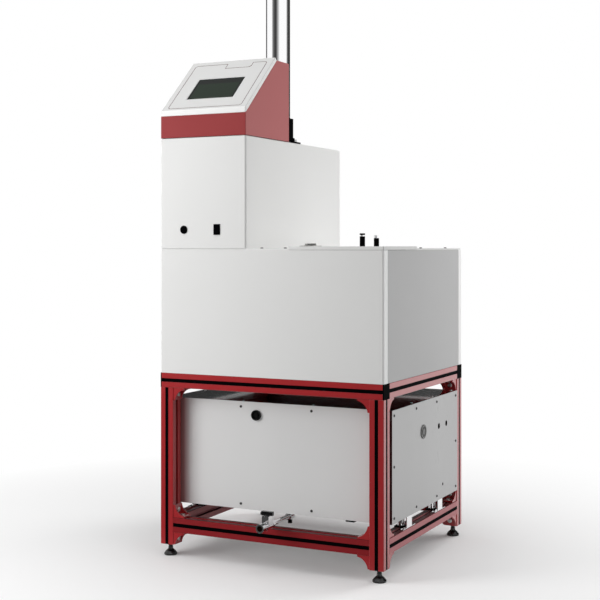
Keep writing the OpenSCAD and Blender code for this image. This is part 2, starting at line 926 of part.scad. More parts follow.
module probe_hole() {
    at_chamber(probe_z)
        translate([chamber_w / 2 - over, 0, 0]) rotate([0, 90, 0])
            cylinder(d = probe_d + 2 * fit, h = chamber_t + insulation_t + 2 * over);
}

module chamber() {
    rim = [lid_w - sheet - fit - lid_side, lid_d - sheet - fit - lid_side];
    color("silver")
        difference() {
            union() {
                at_chamber(chamber_z - chamber_t)
                    box(chamber_out[0], chamber_out[1], chamber_h + chamber_t - rim_t / 2);
                translate([lid_x + lid_side + rim[0] / 2, front + sheet + fit + rim[1] / 2, rim_top - rim_t])
                    linear_extrude(rim_t) rounded_rect(rim[0], rim[1], bend_r);
            }
            at_chamber(chamber_z) box(chamber_w, chamber_d, chamber_h + over);
            at_chamber(chamber_z - chamber_t - over)
                cylinder(d = shaft_d + 2, h = chamber_t + 2 * over);
            duct_hole();
            lead_holes();
            probe_hole();
        }
}

module insulation() {
    color("tan")
        difference() {
            at_chamber(jacket_z) box(jacket[0], jacket[1], rim_top - rim_t - fit - jacket_z);
            at_chamber(chamber_z - chamber_t - fit)
                box(chamber_out[0] + 2 * fit, chamber_out[1] + 2 * fit, chamber_h + 2 * chamber_t);
            at_chamber(jacket_z - over) cylinder(d = shaft_d + 6, h = insulation_t + 2 * over);
            duct_hole();
            lead_holes();
            probe_hole();
        }
}

module chamber_legs() {
    leg_d = 20;
    leg_in = 16;
    color("silver")
        for (sx = [-1, 1], sy = [-1, 1])
            at_chamber(casing_z + floor_t)
                translate([sx * (jacket[0] / 2 - leg_in), sy * (jacket[1] / 2 - leg_in), 0])
                    cylinder(d = leg_d, h = jacket_z - casing_z - floor_t);
}

module baffle() {
    intake = 22;
    leg = 6;
    holes = [
        for (i = [0:baffle_nx - 1], j = [0:baffle_ny - 1])
            let (p = [(i - (baffle_nx - 1) / 2) * baffle_pitch, (j - (baffle_ny - 1) / 2) * baffle_pitch])
            if (norm(p) > intake + baffle_hole) p
    ];
    color("silver") {
        at_chamber(baffle_at)
            linear_extrude(plate_t)
                difference() {
                    square([chamber_w - 2 * fit, chamber_d - 2 * fit], center = true);
                    circle(intake);
                    for (p = holes) translate(p) circle(d = baffle_hole, $fn = 24);
                }
        for (sx = [-1, 1], sy = [-1, 1])
            at_chamber(chamber_z)
                translate([sx * (chamber_w / 2 - leg), sy * (chamber_d / 2 - leg), 0])
                    cylinder(d = leg, h = baffle_z);
    }
}

module board_rack() {
    color("silver")
        at_chamber(rack_z) {
            for (s = [-1, 1]) {
                translate([-rack_x, s * rack_y, 0])
                    rotate([0, 90, 0]) cylinder(d = rail_d, h = 2 * rack_x);
                for (sx = [-1, 1])
                    translate([sx * rack_x, s * rack_y, 0]) {
                        sphere(d = rail_d);
                        translate([0, 0, -rack_h]) cylinder(d = rail_d, h = rack_h);
                    }
            }
            for (i = [0:rack_wires - 1])
                translate([-rack_x + rail_d + i * (2 * rack_x - 2 * rail_d) / (rack_wires - 1), -rack_y, 0])
                    rotate([-90, 0, 0]) cylinder(d = wire_d, h = 2 * rack_y);
        }
}

module ring_heater() {
    ring_z = wheel_z + blade_h / 2;
    tail = 12;
    color("dimgray") {
        at_chamber(ring_z) rotate_extrude() translate([heater_ring_d / 2, 0]) circle(d = heater_d);
        at_heater_leads()
            translate([0, 0, jacket_z - tail]) cylinder(d = heater_d - 2, h = ring_z - jacket_z + tail);
    }
}

module temperature_probe() {
    outside = insulation_t + chamber_t;
    color("silver")
        at_chamber(probe_z)
            translate([chamber_w / 2 - probe_reach, 0, 0]) rotate([0, 90, 0]) {
                cylinder(d = probe_d, h = probe_reach + outside + 2);
                translate([0, 0, probe_reach + outside + fit]) cylinder(d = 3 * probe_d, h = 4, $fn = 6);
            }
}

module fan_motor() {
    color("dimgray")
        difference() {
            union() {
                at_chamber(motor_top) box(flange_side, flange_side, motor_flange_t);
                at_chamber(motor_low) cylinder(d = motor_d, h = motor_h + over);
            }
            at_chamber(jacket_z - shaft_in - over)
                cylinder(d = shaft_d + 2 * shaft_fit, h = shaft_in + 2 * over);
        }
}

module fan_shaft() {
    low = jacket_z - shaft_in;
    color("silver") at_chamber(low) cylinder(d = shaft_d, h = wheel_z + blade_h - low);
}

// One curved blade between the hub and the wheel's rim
module blade() {
    translate([0, 0, plate_t / 2])
        linear_extrude(blade_h - plate_t / 2)
            intersection() {
                translate([blade_r + 4.5, 0])
                    difference() {
                        circle(blade_r + blade_t / 2, $fn = 96);
                        circle(blade_r - blade_t / 2, $fn = 96);
                    }
                difference() {
                    circle(d = wheel_d - 2, $fn = 96);
                    circle(d = hub_d + 16);
                }
                square(wheel_d);
            }
}

module fan_wheel() {
    color("silver")
        at_chamber(wheel_z)
            difference() {
                union() {
                    cylinder(d = wheel_d, h = plate_t, $fn = 96);
                    cylinder(d = hub_d, h = blade_h - 2);
                    for (i = [0:blade_count - 1]) rotate(i * 360 / blade_count) blade();
                }
                translate([0, 0, -over]) cylinder(d = shaft_d + 2 * shaft_fit, h = blade_h + 2 * over);
            }
}

// The duct's route at a given diameter: out of the chamber, back under the flue, and up
module duct_route(d, past) {
    at_chamber(duct_z)
        translate([-chamber_w / 2 + past, 0, 0])
            rotate([0, -90, 0])
                cylinder(d = d, h = lid_mid[0] - chamber_w / 2 + past - flue_at[0] - duct_r);
    translate([flue_at[0] + duct_r, lid_mid[1] + duct_r, duct_z])
        rotate(180) rotate_extrude(angle = 90) translate([duct_r, 0]) circle(d = d);
    translate([flue_at[0], lid_mid[1] + duct_r, duct_z])
        rotate([-90, 0, 0]) cylinder(d = d, h = flue_at[1] - lid_mid[1] - 2 * duct_r);
    translate([flue_at[0], flue_at[1] - duct_r, duct_z + duct_r])
        rotate([90, 0, 90]) rotate(270) rotate_extrude(angle = 90) translate([duct_r, 0]) circle(d = d);
    translate([flue_at[0], flue_at[1], duct_z + duct_r])
        cylinder(d = d, h = flue_joint - duct_z - duct_r + past);
}

// The duct, with a socket at its top that the flue stands in
module exhaust_duct() {
    socket_d = flue_d + 2 * fit;
    color("silver")
        difference() {
            union() {
                duct_route(flue_d, 0);
                translate([flue_at[0], flue_at[1], flue_joint - flue_t])
                    cylinder(d = socket_d + 2 * flue_t, h = flue_t + socket_l);
            }
            duct_route(flue_d - 2 * flue_t, over);
            translate([flue_at[0], flue_at[1], flue_joint]) cylinder(d = socket_d, h = socket_l + over);
        }
}

module flue() {
    color("silver")
        translate([flue_at[0], flue_at[1], flue_joint + fit])
            tube(flue_d, flue_t, tower_top + flue_h - flue_joint - fit, $fn = 96);
}

module flue_flange() {
    color("silver")
        translate([flue_at[0], flue_at[1], tower_top]) ring(flange_d, flue_d + 2 * fit, flange_t);
}

// ---- tower ----

// A box with rounded front corners and top edges, square at the back and the foot
module tower_form() {
    sides = [tower_r, tower_w - tower_r];
    hull() {
        for (x = sides) {
            translate([x, tower_r, tower_h - tower_r]) sphere(tower_r, $fn = 32);
            translate([x, tower_r, 0]) cylinder(r = tower_r, h = fit, $fn = 32);
            translate([x, frame_d - fit, tower_h - tower_r])
                rotate([-90, 0, 0]) cylinder(r = tower_r, h = fit, $fn = 32);
        }
        translate([0, frame_d - fit, 0]) cube([tower_w, fit, fit]);
    }
}

module tower_shell() {
    margin = 25;
    color("whitesmoke")
        difference() {
            translate([tower_x, front, deck_top]) tower_form();
            translate([tower_x + sheet, front + sheet, deck_top - over])
                cube([tower_w - 2 * sheet, frame_d, tower_h - sheet + over]);
            translate([tower_x + margin, front + margin, tower_top - 2 * sheet])
                cube([tower_w - 2 * margin, head_d - 2 * margin, 4 * sheet]);
            translate([flue_at[0], flue_at[1], tower_top - 2 * sheet])
                cylinder(d = flue_d + 2, h = 4 * sheet);
            translate([tower_x + button_x, front - over, control_at])
                rotate([-90, 0, 0]) cylinder(d = barrel_d + 2 * fit, h = 4 * sheet);
            translate([tower_x + rocker_x, front, control_at])
                cube([rocker_w - 3 + 2 * fit, 6 * sheet, rocker_h - 3 + 2 * fit], center = true);
        }
}

module tower_back() {
    color("whitesmoke")
        difference() {
            translate([tower_mid, -front - sheet / 2, deck_top])
                box(tower_w - 2 * sheet - 2 * fit, sheet, tower_h - sheet - fit);
            translate([tower_mid, -front, 0]) vents(tower_w / 5, deck_top + vent_low / 2, vent_count);
        }
}

// Moves to a control on the tower's front, with +Z pointing out of it
module at_control(x) {
    translate([tower_x + x, front, control_at]) rotate([90, 0, 0]) children();
}

module start_button_collar() {
    depth = 26;
    well = 11;
    color("black")
        at_control(button_x)
            difference() {
                union() {
                    cylinder(d = button_d, h = lip_t);
                    translate([0, 0, -depth]) cylinder(d = barrel_d, h = depth + lip_t / 2);
                }
                translate([0, 0, -well]) cylinder(d = cap_d + 2 * face, h = well + 2 * lip_t);
            }
}

module start_button() {
    proud = 1;
    back = 7;
    color("black")
        at_control(button_x) translate([0, 0, -back]) cylinder(d = cap_d, h = back + lip_t + proud);
}

module rocker_frame() {
    depth = 20;
    well = 13;
    color("black")
        at_control(rocker_x)
            difference() {
                union() {
                    box(rocker_w, rocker_h, lip_t);
                    translate([0, 0, -depth]) box(rocker_w - 3, rocker_h - 3, depth + lip_t / 2);
                }
                translate([0, 0, -well]) box(rocker_w - 5, rocker_h - 5, well + 2 * lip_t);
            }
}

module rocker() {
    pivot = 3;
    half = (rocker_h - 5) / 2 - 1.2;
    rise = half * tan(rocker_swing / 2);
    color("black")
        at_control(rocker_x)
            translate([0, 0, -pivot]) rotate([-rocker_swing / 2, 0, 0]) translate([0, 0, pivot])
                rotate([90, 0, 90])
                    linear_extrude(rocker_w - 5 - 2 * face, center = true)
                        polygon([
                            [-half, -pivot + 1], [-half * 0.5, -8], [half * 0.5, -8],
                            [half, -pivot + 1], [half, 0.8 + rise], [0, 0.8], [-half, 0.8 + rise]
                        ]);
}

// ---- operating head ----

// The head's outline from the side: Y runs back from its front, Z up from its foot
module head_form() {
    r = 2.5;
    ends = [r, tower_w - r];
    corners = [[r, head_front_h - r * tan(45 - slope / 2)], [head_d - r, head_h - r],
        [slope_run + r * tan(slope / 2), head_h - r]];
    hull()
        for (x = ends) {
            for (p = corners) translate([x, p[0], p[1]]) sphere(r, $fn = 24);
            translate([x, r, 0]) cylinder(r = r, h = fit, $fn = 24);
            translate([x, head_d - r, 0]) cylinder(r = r, h = fit, $fn = 24);
        }
}

module head_hollow() {
    shift = sheet / cos(slope);
    rotate([90, 0, 90])
        linear_extrude(tower_w - 2 * sheet)
            polygon([
                [sheet, -over], [head_d - sheet, -over], [head_d - sheet, head_h - sheet],
                [(slope_rise - sheet + shift) / tan(slope), head_h - sheet],
                [sheet, head_front_h + sheet * tan(slope) - shift]
            ]);
}

// Moves to the slope's lower edge, with Y up the slope and Z out of it
module on_slope() {
    translate([tower_mid, front, head_z + head_front_h]) rotate([slope, 0, 0]) children();
}

// A block over the touchscreen's place on the slope
module screen_block(shrink, z0, z1) {
    on_slope()
        translate([0, screen_at + screen_h / 2, z0])
            box(screen_w - 2 * shrink, screen_h - 2 * shrink, z1 - z0);
}

module head_housing() {
    color("firebrick")
        difference() {
            translate([tower_x, front, head_z]) head_form();
            translate([tower_x + sheet, front, head_z]) head_hollow();
            screen_block(glass_back - fit, -4 * sheet, 4 * sheet);
        }
}

module bezel_form() {
    r = bezel_r;
    side = tower_w / 2;
    low = (bezel_t - r) * tan(slope) + r / cos(slope);
    hull()
        for (s = [-1, 1]) {
            translate([s * (side - r), low, bezel_t - r]) sphere(r, $fn = 32);
            translate([s * (side - r), slope_len - r, bezel_t - r]) sphere(r, $fn = 32);
            translate([s * (side - r), r, fit]) cylinder(r = r, h = fit, $fn = 32);
            translate([s * (side - r), slope_len - r, fit]) cylinder(r = r, h = fit, $fn = 32);
        }
}

// The stripe's outline drawn in by k: a rectangle with cut corners and a step in its upper run
function stripe_outline(k) = let (
    x = tower_w / 2 - stripe_in - k, y0 = stripe_in + k, y1 = slope_len - stripe_in - k,
    c = stripe_cut - 0.586 * k, a = step_dx - step_w / 2 - k, b = step_dx + step_w / 2 + k,
    y2 = y1 - step_d
) [
    [-x + c, y0], [x - c, y0], [x, y0 + c], [x, y1 - c], [x - c, y1], [b, y1], [b, y2 + c],
    [b - c, y2], [a, y2], [a, y1], [-x + c, y1], [-x, y1 - c], [-x, y0 + c]
];

module stripe(grow, z0, h) {
    translate([0, 0, z0])
        linear_extrude(h)
            difference() {
                polygon(stripe_outline(-grow));
                polygon(stripe_outline(stripe_w + grow));
            }
}

module bezel() {
    color("white")
        difference() {
            on_slope() difference() {
                bezel_form();
                stripe(fit / 2, bezel_t - stripe_deep, over);
            }
            screen_block(-fit, -over, bezel_t + over);
        }
}

module bezel_stripe() {
    color("firebrick") on_slope() stripe(0, bezel_t - stripe_deep + fit / 2, stripe_deep - fit / 2);
}

module touchscreen() {
    recess = 1;
    color("darkslategray") {
        screen_block(0, 2 * fit, bezel_t - recess);
        screen_block(glass_back, -screen_deep, 3 * fit);
    }
}

// Moves to each head hinge's middle, with X along its axis, Y back and Z up
module at_head_hinges() {
    reach = tower_w / 2 - head_hinge_in - head_hinge_w / 2;
    for (s = [-1, 1]) translate([tower_mid + s * reach, head_axis[0], head_axis[1]]) children();
}

// A round bar along X, centred
module bar(d, l) {
    rotate([0, 90, 0]) cylinder(d = d, h = l, center = true);
}

module head_hinge_leaf() {
    low = -2.5;
    middle = head_hinge_w / 3 - 2 * face;
    near = head_knuckle_d / 2 + 2 * face;
    color("black")
        at_head_hinges()
            difference() {
                union() {
                    translate([-head_hinge_w / 2, -head_axis_y, low])
                        cube([head_hinge_w, head_axis_y - near, head_leaf_h]);
                    translate([-middle / 2, -near - over, low]) cube([middle, near + over, -2 * low]);
                    bar(head_knuckle_d, middle);
                }
                bar(head_pin_d + 2 * shaft_fit, 2 * middle);
            }
}

module head_hinge_base() {
    color("black")
        at_head_hinges() {
            translate([-head_hinge_w / 2, -head_knuckle_d / 2, -head_axis_z])
                cube([head_hinge_w, head_foot_l + head_knuckle_d / 2, head_foot_t]);
            for (s = [-1, 1])
                translate([s * head_hinge_w / 3, 0, 0]) {
                    bar(head_knuckle_d, head_hinge_w / 3);
                    translate([-head_hinge_w / 6, -head_knuckle_d / 2, -head_axis_z])
                        cube([head_hinge_w / 3, head_knuckle_d, head_axis_z]);
                }
            bar(head_pin_d, head_hinge_w);
        }
}

// ---- lower case ----

module case_body() {
    window_h = case_h - 2 * case_flange;
    color("silver")
        translate([0, case_y, case_z])
            difference() {
                translate([-panel_x, sheet, 0]) cube([2 * panel_x, case_d - sheet, case_h]);
                translate([-panel_x + sheet, 2 * sheet, sheet])
                    cube([2 * panel_x - 2 * sheet, case_d - 3 * sheet, case_h - 2 * sheet]);
                translate([-panel_x - over, sheet + case_flange, case_flange])
                    cube([2 * (panel_x + over), case_d - 2 * case_flange - sheet, window_h]);
                translate([-panel_x + case_flange, -over, case_flange])
                    cube([2 * panel_x - 2 * case_flange, 4 * sheet, window_h]);
                translate([drain_x, rise_y - case_y, -over])
                    cylinder(d = drain_d + 2 * fit, h = sheet + 2 * over);
            }
}

module case_front_panel() {
    color("silver")
        difference() {
            translate([-case_w / 2 + sheet + fit, case_y, case_z])
                cube([case_w - 2 * sheet - 2 * fit, sheet, case_h]);
            at_connector()
                translate([0, 0, -2 * sheet]) cylinder(d = connector_neck + 2 * fit, h = 4 * sheet);
        }
}

// Moves to the front connector, with +Z pointing out of the panel
module at_connector() {
    translate([connector_at[0], case_y, case_z + case_h - connector_at[1]]) rotate([90, 0, 0]) children();
}

// Moves to a point of the right panel, given from its front edge and foot, +Z pointing out
module at_side(y, z) {
    translate([case_w / 2, case_y + y, case_z + z]) rotate([0, 90, 0]) children();
}

module at_ports() {
    for (y = port_y) at_side(y, port_z) children();
}

module case_side_panels() {
    color("silver")
        for (s = [-1, 1])
            difference() {
                translate([s * (case_w / 2 - sheet / 2) - sheet / 2, case_y, case_z])
                    cube([sheet, case_d, case_h]);
                if (s > 0) {
                    at_ports() translate([0, 0, -2 * sheet]) cylinder(d = port_d, h = 4 * sheet);
                    at_side(gland_at[0], gland_at[1])
                        translate([0, 0, -2 * sheet]) cylinder(d = gland_neck + 2 * fit, h = 4 * sheet);
                    at_side(earth_at[0], earth_at[1])
                        translate([0, 0, -2 * sheet]) cylinder(d = earth_d, h = 4 * sheet);
                }
            }
}

module case_fittings() {
    cap_h = 6;
    gland_h = 2;
    behind = 12;
    clip_t = 4;
    color("black")
        translate([clip_x, case_y + clip_w / 2, case_z - clip_t]) box(clip_w, clip_w, clip_t);
    color("black")
        at_connector() {
            difference() {
                cylinder(d = connector_d, h = cap_h);
                translate([0, 0, 1]) cylinder(d = connector_d - 7, h = cap_h);
            }
            translate([0, 0, -behind]) cylinder(d = connector_neck, h = behind + 1);
            cylinder(d = connector_d * 0.45, h = cap_h - 1);
        }
    color("gray")
        at_side(gland_at[0], gland_at[1]) {
            difference() {
                cylinder(d = gland_d, h = gland_h);
                translate([0, 0, gland_h / 2]) cylinder(d = gland_d - 9, h = gland_h);
            }
            translate([0, 0, -behind]) cylinder(d = gland_neck, h = behind + gland_h / 2);
            cylinder(d = gland_d / 2, h = gland_h);
        }
}

module at_buffers() {
    for (sx = [-1, 1], sy = [-1, 1])
        translate([sx * (post_x - buffer_in), sy * buffer_y, beam_top])
            mirror([sx > 0 ? 0 : 1, 0, 0]) children();
}

// The buffers, each with a sheet support on the beam's outer edge
module case_buffers() {
    outer = buffer_in + profile / 2 - profile_r;
    color("silver")
        at_buffers() {
            translate([0, 0, buffer_plate_t]) cylinder(d = buffer_d, h = case_gap - 2 * buffer_plate_t);
            translate([outer - sheet, -support_w / 2, 0]) cube([sheet, support_w, case_gap]);
            translate([outer - support_foot_w, -support_foot_l / 2, 0])
                cube([support_foot_w, support_foot_l, sheet]);
        }
}

module buffer_plates() {
    color("black")
        at_buffers()
            for (z = [0, case_gap - buffer_plate_t])
                translate([0, 0, z]) box(buffer_plate_w, buffer_plate_w, buffer_plate_t);
}

// ---- drain ----

// Moves to the drain's axis at a distance in front of the frame, with +Z pointing forward
module on_drain(y) {
    translate([drain_x, front - y, drain_z]) rotate([90, 0, 0]) children();
}

module drain_pipe() {
    color("silver")
        on_drain(-rise_y + front + drain_d / 4)
            tube(drain_d, drain_t, rise_y - front - drain_d / 4 + stem_y - valve_l / 2 - fit);
}

// The elbow that the pipe plugs into, with its nut under the case
module drain_fitting() {
    wall = 3;
    elbow_d = drain_d + 2 * wall;
    hub = 22;
    nut_t = 6;
    color("black")
        difference() {
            union() {
                on_drain(front - rise_y) cylinder(d = elbow_d, h = hub);
                translate([drain_x, rise_y - hub / 2, drain_z - elbow_d])
                    cylinder(d = plug_d, h = elbow_d);
                translate([drain_x, rise_y, drain_z]) {
                    sphere(d = elbow_d);
                    cylinder(d = drain_d, h = case_z + 4 * sheet - drain_z);
                    cylinder(d = elbow_d, h = case_z - nut_t - drain_z);
                    translate([0, 0, case_z - nut_t - drain_z])
                        cylinder(d = elbow_d + 2 * wall, h = nut_t, $fn = 6);
                }
            }
            on_drain(front - rise_y + drain_d / 4 - fit) cylinder(d = drain_d + 2 * fit, h = hub);
        }
}

module drain_valve() {
    low = stem_y - valve_l / 2;
    union_l = 10;
    ring_l = 14;
    color("lightgray")
        difference() {
            union() {
                on_drain(low) cylinder(d = outlet_d - 3, h = valve_l);
                on_drain(low - union_l) cylinder(d = outlet_d, h = union_l + fit, $fn = 6);
                on_drain(low + valve_l - fit)
                    cylinder(d = outlet_d - 4, h = drain_reach - low - valve_l - fit);
                on_drain(drain_reach - ring_l) cylinder(d = outlet_d, h = ring_l);
                translate([drain_x, lever_at, drain_z]) box(bonnet_w, bonnet_l, lever_z - 3 * face);
            }
            on_drain(drain_reach - outlet_deep) cylinder(d = outlet_bore, h = outlet_deep + over);
            on_drain(low - union_l - over) cylinder(d = drain_d + 2 * fit, h = union_l + over);
            translate([drain_x, lever_at, drain_z + stem_pin_d / 2])
                cylinder(d = stem_pin_d + 2 * shaft_fit, h = lever_z);
        }
}

module drain_lever() {
    color("black")
        translate([drain_x, lever_at, 0]) {
            translate([0, 0, drain_z + lever_z]) box(lever_l, lever_w, lever_h);
            translate([0, 0, drain_z + outlet_d / 4])
                cylinder(d = stem_pin_d, h = lever_z - outlet_d / 4 + over);
        }
}

// ---- screws of the covers and panels ----

module top_screws() {
    for (y = side_screws)
        translate([right - top_screw_in, front + lid_d + y, deck_top])
            button_head(top_head_d, top_head_h);
    for (x = [tower_x + tower_w + front_screws[0], lid_x - front_screws[1]])
        translate([x, front + top_screw_in, deck_top]) button_head(top_head_d, top_head_h);
}

module panel_screws() {
    for (s = [-1, 1], y = screw_rows, z = [panel_screw_in, case_h - panel_screw_in])
        translate([s * case_w / 2, case_y + y, case_z + z])
            rotate([0, s * 90, 0]) button_head(panel_head_d, panel_head_h);
    for (s = [-1, 1], y = [screw_rows[0], screw_rows[3]])
        translate([s * case_w / 2, case_y + y, case_z + case_h / 2])
            rotate([0, s * 90, 0]) button_head(panel_head_d, panel_head_h);
    for (i = [-1.5:1.5], z = [panel_screw_in, case_h - panel_screw_in])
        translate([i * (case_w - 2 * front_screw_in) / 3, case_y, case_z + z])
            rotate([90, 0, 0]) button_head(panel_head_d, panel_head_h);
    for (i = [-1.5:1.5])
        translate([i * (case_w - 2 * front_screw_in) / 3, case_y + panel_screw_in, case_z + case_h])
            button_head(panel_head_d, panel_head_h);
    for (s = [-1, 1], i = [1:3])
        translate([s * (case_w / 2 - panel_screw_in), case_y + screw_rows[i], case_z + case_h])
            button_head(panel_head_d, panel_head_h);
}

module hinge_screws() {
    screw_in = 10;
    head_d = 13;
    head_t = 8;
    at_head_hinges()
        translate([0, head_foot_l - screw_in, head_foot_t - head_axis_z]) cap_head(head_d, head_t);
}

module cover_screws() {
    color("silver") {
        top_screws();
        panel_screws();
        hinge_screws();
    }
}

// ---- the pieces ----

cross_top_beams();
side_top_beams();
front_posts();
rear_posts();
cross_lower_beams();
side_lower_beams();
slot_strips();
end_caps();
corner_brackets();
bracket_screws();
levelling_feet();
casing_floor();
front_cover();
rear_cover();
left_panel();
right_panel();
top_plate();
lid();
lid_liner();
lid_seal();
lid_hinge_base();
lid_hinge_leaf();
lid_knobs();
knob_collars();
chamber();
insulation();
chamber_legs();
baffle();
board_rack();
ring_heater();
temperature_probe();
fan_motor();
fan_shaft();
fan_wheel();
exhaust_duct();
flue();
flue_flange();
tower_shell();
tower_back();
start_button_collar();
start_button();
rocker_frame();
rocker();
head_housing();
bezel();
bezel_stripe();
touchscreen();
head_hinge_leaf();
head_hinge_base();
case_body();
case_front_panel();
case_side_panels();
case_fittings();
case_buffers();
buffer_plates();
cover_screws();
drain_pipe();
drain_fitting();
drain_valve();
drain_lever();
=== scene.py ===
import json
import math

import bpy
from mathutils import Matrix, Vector

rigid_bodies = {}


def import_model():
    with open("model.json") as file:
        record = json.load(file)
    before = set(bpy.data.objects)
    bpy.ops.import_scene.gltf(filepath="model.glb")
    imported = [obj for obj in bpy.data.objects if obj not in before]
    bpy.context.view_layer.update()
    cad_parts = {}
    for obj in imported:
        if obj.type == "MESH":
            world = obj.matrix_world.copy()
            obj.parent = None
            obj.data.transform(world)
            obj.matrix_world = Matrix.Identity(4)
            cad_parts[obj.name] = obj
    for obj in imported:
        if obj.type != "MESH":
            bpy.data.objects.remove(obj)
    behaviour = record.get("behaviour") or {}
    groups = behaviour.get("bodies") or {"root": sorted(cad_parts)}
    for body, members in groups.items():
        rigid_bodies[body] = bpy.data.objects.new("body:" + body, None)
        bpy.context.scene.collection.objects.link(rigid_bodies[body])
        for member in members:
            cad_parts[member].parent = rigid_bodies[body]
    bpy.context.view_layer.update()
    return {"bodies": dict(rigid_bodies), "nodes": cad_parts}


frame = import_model()
nodes = frame["nodes"]

# whatever the startup file holds goes, the oven stays
ovenObjects = set(nodes.values()) | set(frame["bodies"].values())
for stray in [thing for thing in bpy.data.objects if thing not in ovenObjects]:
    bpy.data.objects.remove(stray)
print("oven loaded:", len(nodes), "pieces")


# helpers for shader trees

def addNode(tree, kind, inputs=None, **settings):
    node = tree.nodes.new(kind)
    for key, value in settings.items():
        setattr(node, key, value)
    for key, value in (inputs or {}).items():
        if isinstance(value, bpy.types.NodeSocket):
            tree.links.new(value, node.inputs[key])
        else:
            node.inputs[key].default_value = value
    return node


def startMaterial(name, sockets):
    material = bpy.data.materials.new(name)
    material.use_nodes = True
    tree = material.node_tree
    shader = tree.nodes["Principled BSDF"]
    for key, value in sockets.items():
        shader.inputs[key].default_value = value
    return material, tree, shader


def surfacePoint(tree, stretch=(1, 1, 1)):
    place = addNode(tree, "ShaderNodeTexCoord").outputs["Object"]
    return addNode(tree, "ShaderNodeMapping", {"Vector": place, "Scale": stretch}).outputs[0]


def noise(tree, point, scale, detail):
    return addNode(tree, "ShaderNodeTexNoise", {
        "Vector": point, "Scale": scale, "Detail": detail}).outputs["Fac"]


def remap(tree, value, low, high, newLow, newHigh):
    return addNode(tree, "ShaderNodeMapRange", {
        "Value": value, "From Min": low, "From Max": high,
        "To Min": newLow, "To Max": newHigh}).outputs["Result"]


def combine(tree, operation, first, second):
    return addNode(tree, "ShaderNodeMath", {0: first, 1: second}, operation=operation).outputs[0]


def blendColors(tree, factor, first, second):
    colors = [value if isinstance(value, bpy.types.NodeSocket) else (*value, 1)
              for value in (first, second)]
    return addNode(tree, "ShaderNodeMix", {0: factor, 6: colors[0], 7: colors[1]},
                   data_type="RGBA").outputs[2]


# X, Y and Z of a place on the oven
def placeSides(tree):
    place = addNode(tree, "ShaderNodeTexCoord").outputs["Object"]
    return addNode(tree, "ShaderNodeSeparateXYZ", {0: place}).outputs


def axisOf(tree, axis):
    return placeSides(tree)[axis]


def normalOf(tree, axis):
    normal = addNode(tree, "ShaderNodeNewGeometry").outputs["Normal"]
    return addNode(tree, "ShaderNodeSeparateXYZ", {0: normal}).outputs[axis]


# how far a place lies from a line along one axis; across holds 0 for that axis and 1 for the rest
def reachFrom(tree, across, centre):
    place = addNode(tree, "ShaderNodeTexCoord").outputs["Object"]
    flat = addNode(tree, "ShaderNodeVectorMath", {0: place, 1: across},
                   operation="MULTIPLY").outputs[0]
    return addNode(tree, "ShaderNodeVectorMath", {0: flat, 1: centre},
                   operation="DISTANCE").outputs["Value"]


def between(tree, value, low, high):
    return combine(tree, "MULTIPLY", combine(tree, "GREATER_THAN", value, low),
                   combine(tree, "LESS_THAN", value, high))


# what all finishes share
shared = {
    "driftDetail": 2.0, "driftSpan": (0.3, 0.7), "grainDetail": 3.0, "grainSpan": (0.35, 0.65),
    "leastWear": 0.3, "glossSpan": (0.6, 1.4), "bevelSamples": 4, "edgeSpan": (0.75, 0.97917),
}


# 1 on edges and corners, 0 on flat faces
def edgeMask(tree, radius):
    rounded = addNode(tree, "ShaderNodeBevel", {"Radius": radius},
                      samples=shared["bevelSamples"]).outputs[0]
    flat = addNode(tree, "ShaderNodeNewGeometry").outputs["Normal"]
    match = addNode(tree, "ShaderNodeVectorMath", {0: rounded, 1: flat},
                    operation="DOT_PRODUCT").outputs["Value"]
    return remap(tree, match, *shared["edgeSpan"], 1, 0), rounded


# one finish: a base colour that drifts slowly, a grain that shows as bump and gloss,
# rounded edges that catch the light, and a touch of wear on them
def finish(name, values, sockets=None, tint=None):
    material, tree, shader = startMaterial(name, sockets or {})
    point = surfacePoint(tree, values.get("stretch", (1, 1, 1)))
    drift = noise(tree, point, values["driftScale"], shared["driftDetail"])
    grain = noise(tree, point, values["grainScale"], shared["grainDetail"])
    wear, rounded = edgeMask(tree, values["edgeRadius"])

    plain = values["color"]
    drifted = [max(channel * (1 - values["drift"]), 0) for channel in plain]
    color = blendColors(tree, remap(tree, drift, *shared["driftSpan"], 0, 1), plain, drifted)
    if tint:
        color = tint(tree, color)
    worn = combine(tree, "MULTIPLY", wear, values["wear"])
    worn = combine(tree, "MULTIPLY", worn, remap(
        tree, grain, *shared["grainSpan"], shared["leastWear"], 1))
    color = blendColors(tree, worn, color, values.get("wearAndHighlightColor", plain))
    tree.links.new(color, shader.inputs["Base Color"])

    gloss = remap(tree, combine(tree, "ADD", drift, grain),
                  *shared["glossSpan"], *values["roughness"])
    tree.links.new(gloss, shader.inputs["Roughness"])
    bump = addNode(tree, "ShaderNodeBump", {
        "Height": grain, "Strength": values["bump"], "Distance": values["bumpDepth"],
        "Normal": rounded}).outputs[0]
    tree.links.new(bump, shader.inputs["Normal"])
    return material


# paints and metals

